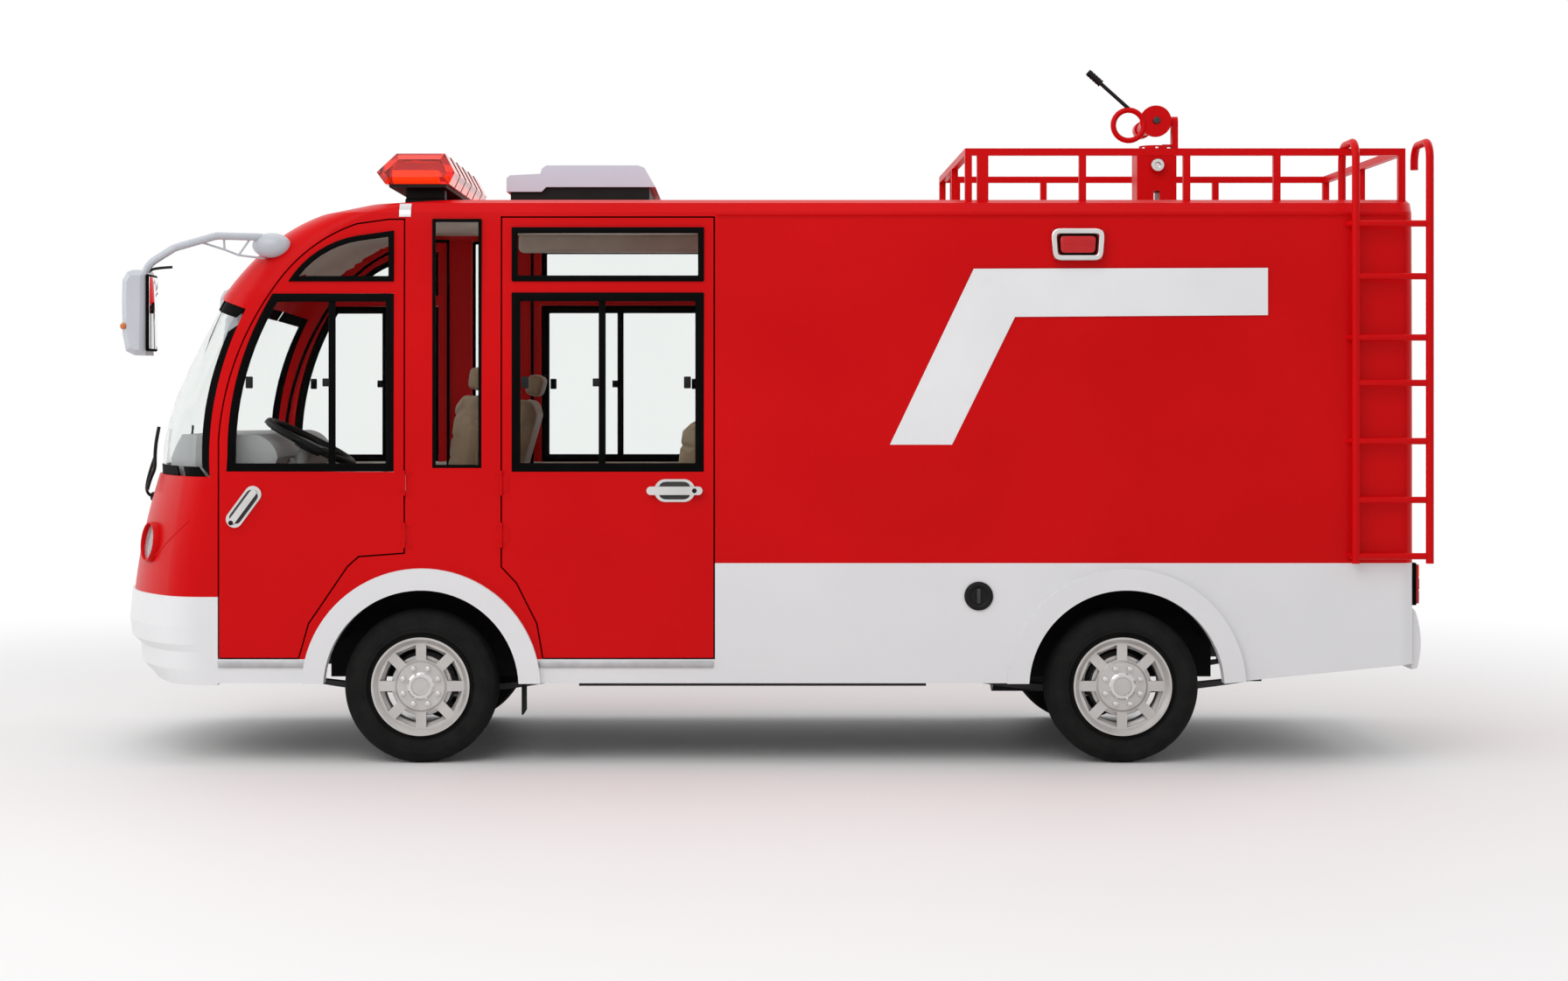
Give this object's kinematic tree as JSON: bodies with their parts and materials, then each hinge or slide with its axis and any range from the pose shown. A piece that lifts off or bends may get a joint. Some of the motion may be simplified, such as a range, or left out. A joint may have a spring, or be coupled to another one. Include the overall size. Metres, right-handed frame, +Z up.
{
  "type": "electric fire patrol vehicle",
  "caption": "Small electric fire patrol vehicle with a panoramic cab, side doors, box body, roof rail, side ladder, light bar and roof water monitor.",
  "frame": {"origin": "on the ground, at the middle of the overall length and width", "axes": "+X towards the rear, +Y towards the passenger's side, +Z up"},
  "size_m": [4.945, 1.98, 2.6488],
  "materials": {
    "red_paint": "gloss",
    "white_paint": "gloss",
    "dark_steel": "satin",
    "glass": "clear",
    "grey_trim": "matte",
    "seat_cloth": "woven",
    "lamp_clear": "clear",
    "lamp_red": "clear",
    "bar_base": "satin",
    "white_plastic": "satin",
    "silver_plastic": "satin",
    "chrome": "polished",
    "tyre": "matte",
    "alloy": "satin",
    "black_plastic": "matte",
    "tank_plastic": "matte"
  },
  "bodies": {
    "vehicle": {"chassis_frame": "dark_steel", "leaf_springs": "dark_steel", "front_axle": "dark_steel", "rear_axle": "dark_steel", "battery_pack": "dark_steel", "floor_pan": "grey_trim", "nose_panel": "red_paint", "front_bumper": "white_paint", "fixed_glass": "glass", "cab_frame": "red_paint", "box_shell": "red_paint", "lower_skirts": "white_paint", "rear_bumper": "white_paint", "dashboard": "grey_trim", "front_seats": "seat_cloth", "rear_bench": "seat_cloth", "headlamps": "lamp_clear", "red_lamps": "lamp_red", "light_bar_base": "bar_base", "light_bar_lens": "lamp_red", "roof_vent": "white_plastic", "vent_base": "black_plastic", "roof_rail": "red_paint", "side_ladder": "red_paint", "mirrors": "silver_plastic", "monitor_stand": "red_paint", "water_tank": "tank_plastic"},
    "front_left_door": {"door_front_left": "red_paint", "glass_front_left": "glass", "handle_front_left": "chrome"},
    "front_right_door": {"door_front_right": "red_paint", "glass_front_right": "glass", "handle_front_right": "chrome"},
    "rear_left_door": {"door_rear_left": "red_paint", "glass_rear_left": "glass", "handle_rear_left": "chrome"},
    "rear_right_door": {"door_rear_right": "red_paint", "glass_rear_right": "glass", "handle_rear_right": "chrome"},
    "tailgate": {"tailgate": "red_paint"},
    "left_knuckle": {"knuckle_left": "dark_steel"},
    "right_knuckle": {"knuckle_right": "dark_steel"},
    "tie_rod": {"tie_rod": "dark_steel"},
    "front_left_wheel": {"tyre_front_left": "tyre", "rim_front_left": "alloy"},
    "front_right_wheel": {"tyre_front_right": "tyre", "rim_front_right": "alloy"},
    "rear_left_wheel": {"tyre_rear_left": "tyre", "rim_rear_left": "alloy"},
    "rear_right_wheel": {"tyre_rear_right": "tyre", "rim_rear_right": "alloy"},
    "steering_wheel": {"steering_wheel": "black_plastic"},
    "monitor_head": {"monitor_head": "red_paint"},
    "monitor_nozzle": {"monitor_nozzle": "red_paint"}
  },
  "joints": [
    {"name": "front_left_door_swing", "type": "hinge", "parent": "vehicle", "child": "front_left_door", "pos_m": [-1.317, -0.756, 1.2], "axis": [0, 0, 1], "range_deg": [0, 75]},
    {"name": "front_right_door_swing", "type": "hinge", "parent": "vehicle", "child": "front_right_door", "pos_m": [-1.317, 0.756, 1.2], "axis": [0, 0, -1], "range_deg": [0, 75]},
    {"name": "rear_left_door_swing", "type": "hinge", "parent": "vehicle", "child": "rear_left_door", "pos_m": [-0.959, -0.756, 1.2], "axis": [0, 0, -1], "range_deg": [0, 75]},
    {"name": "rear_right_door_swing", "type": "hinge", "parent": "vehicle", "child": "rear_right_door", "pos_m": [-0.959, 0.756, 1.2], "axis": [0, 0, 1], "range_deg": [0, 75]},
    {"name": "tailgate_lift", "type": "hinge", "parent": "vehicle", "child": "tailgate", "pos_m": [2.43, 0, 1.947], "axis": [0, -1, 0], "range_deg": [0, 85]},
    {"name": "left_steer", "type": "hinge", "parent": "vehicle", "child": "left_knuckle", "pos_m": [-1.261, -0.542, 0.284], "axis": [0, 0, 1], "range_deg": [-30, 30]},
    {"name": "right_steer", "type": "hinge", "parent": "vehicle", "child": "right_knuckle", "pos_m": [-1.261, 0.542, 0.284], "axis": [0, 0, 1], "range_deg": [-30, 30]},
    {"name": "tie_rod_swing", "type": "hinge", "parent": "left_knuckle", "child": "tie_rod", "pos_m": [-1.151, -0.542, 0.178], "axis": [0, 0, 1], "range_deg": [-30, 30]},
    {"name": "front_left_wheel_spin", "type": "hinge", "parent": "left_knuckle", "child": "front_left_wheel", "pos_m": [-1.261, -0.65, 0.284], "axis": [0, 1, 0], "continuous": true},
    {"name": "front_right_wheel_spin", "type": "hinge", "parent": "right_knuckle", "child": "front_right_wheel", "pos_m": [-1.261, 0.65, 0.284], "axis": [0, 1, 0], "continuous": true},
    {"name": "rear_left_wheel_spin", "type": "hinge", "parent": "vehicle", "child": "rear_left_wheel", "pos_m": [1.339, -0.65, 0.284], "axis": [0, 1, 0], "continuous": true},
    {"name": "rear_right_wheel_spin", "type": "hinge", "parent": "vehicle", "child": "rear_right_wheel", "pos_m": [1.339, 0.65, 0.284], "axis": [0, 1, 0], "continuous": true},
    {"name": "steering_wheel_turn", "type": "hinge", "parent": "vehicle", "child": "steering_wheel", "pos_m": [-1.723, -0.37, 1.183], "axis": [0.454, 0, 0.891], "range_deg": [-450, 450]},
    {"name": "monitor_turn", "type": "hinge", "parent": "vehicle", "child": "monitor_head", "pos_m": [1.565, 0, 2.34], "axis": [0, 0, 1], "range_deg": [-170, 170]},
    {"name": "monitor_tilt", "type": "hinge", "parent": "monitor_head", "child": "monitor_nozzle", "pos_m": [1.565, 0, 2.446], "axis": [1, 0, 0], "range_deg": [-20, 60]}
  ],
  "couplings": [
    {"joint": "right_steer", "follows": "left_steer", "ratio": 1},
    {"joint": "tie_rod_swing", "follows": "left_steer", "ratio": -1},
    {"joint": "steering_wheel_turn", "follows": "left_steer", "ratio": 15}
  ]
}
